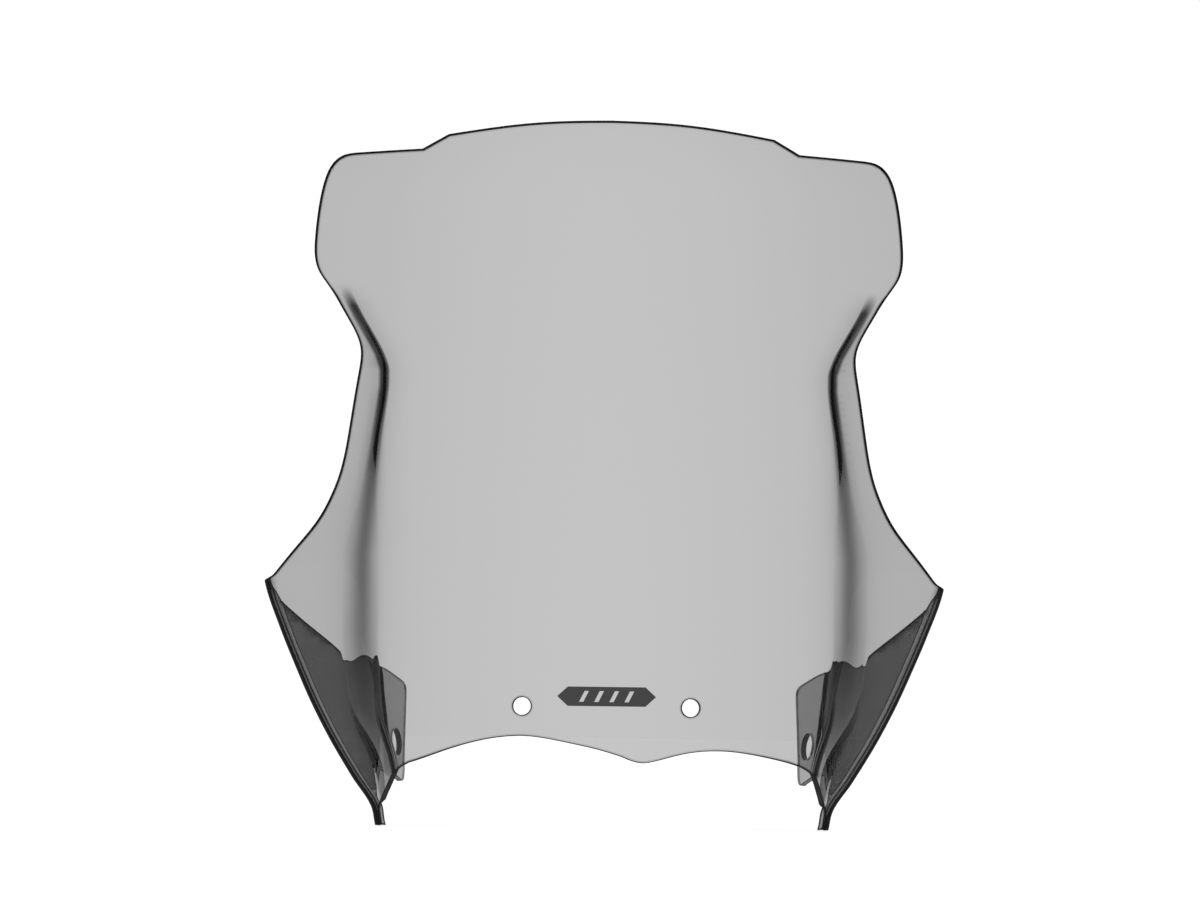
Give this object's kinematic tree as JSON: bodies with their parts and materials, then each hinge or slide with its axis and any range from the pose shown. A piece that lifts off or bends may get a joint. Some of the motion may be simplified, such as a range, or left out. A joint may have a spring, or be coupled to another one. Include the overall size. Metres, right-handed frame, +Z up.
{
  "type": "motorcycle windshield screen",
  "caption": "Smoke acrylic motorcycle screen with swept side wings, folded side returns, bonded side brackets, centre bolt holes and an asymmetric headlight cut-out.",
  "frame": {"origin": "midway between the two centre bolt holes, on the front face of the sheet", "axes": "+X to the right seen from the front, +Y back towards the rider, +Z up"},
  "size_m": [0.4646, 0.1246, 0.4801],
  "materials": {
    "smoke_acrylic": "polished, see-through",
    "badge_film": "satin"
  },
  "bodies": {
    "root": {"screen_panel": "smoke_acrylic", "left_side_bracket": "smoke_acrylic", "right_side_bracket": "smoke_acrylic", "badge": "badge_film"}
  },
  "joints": []
}
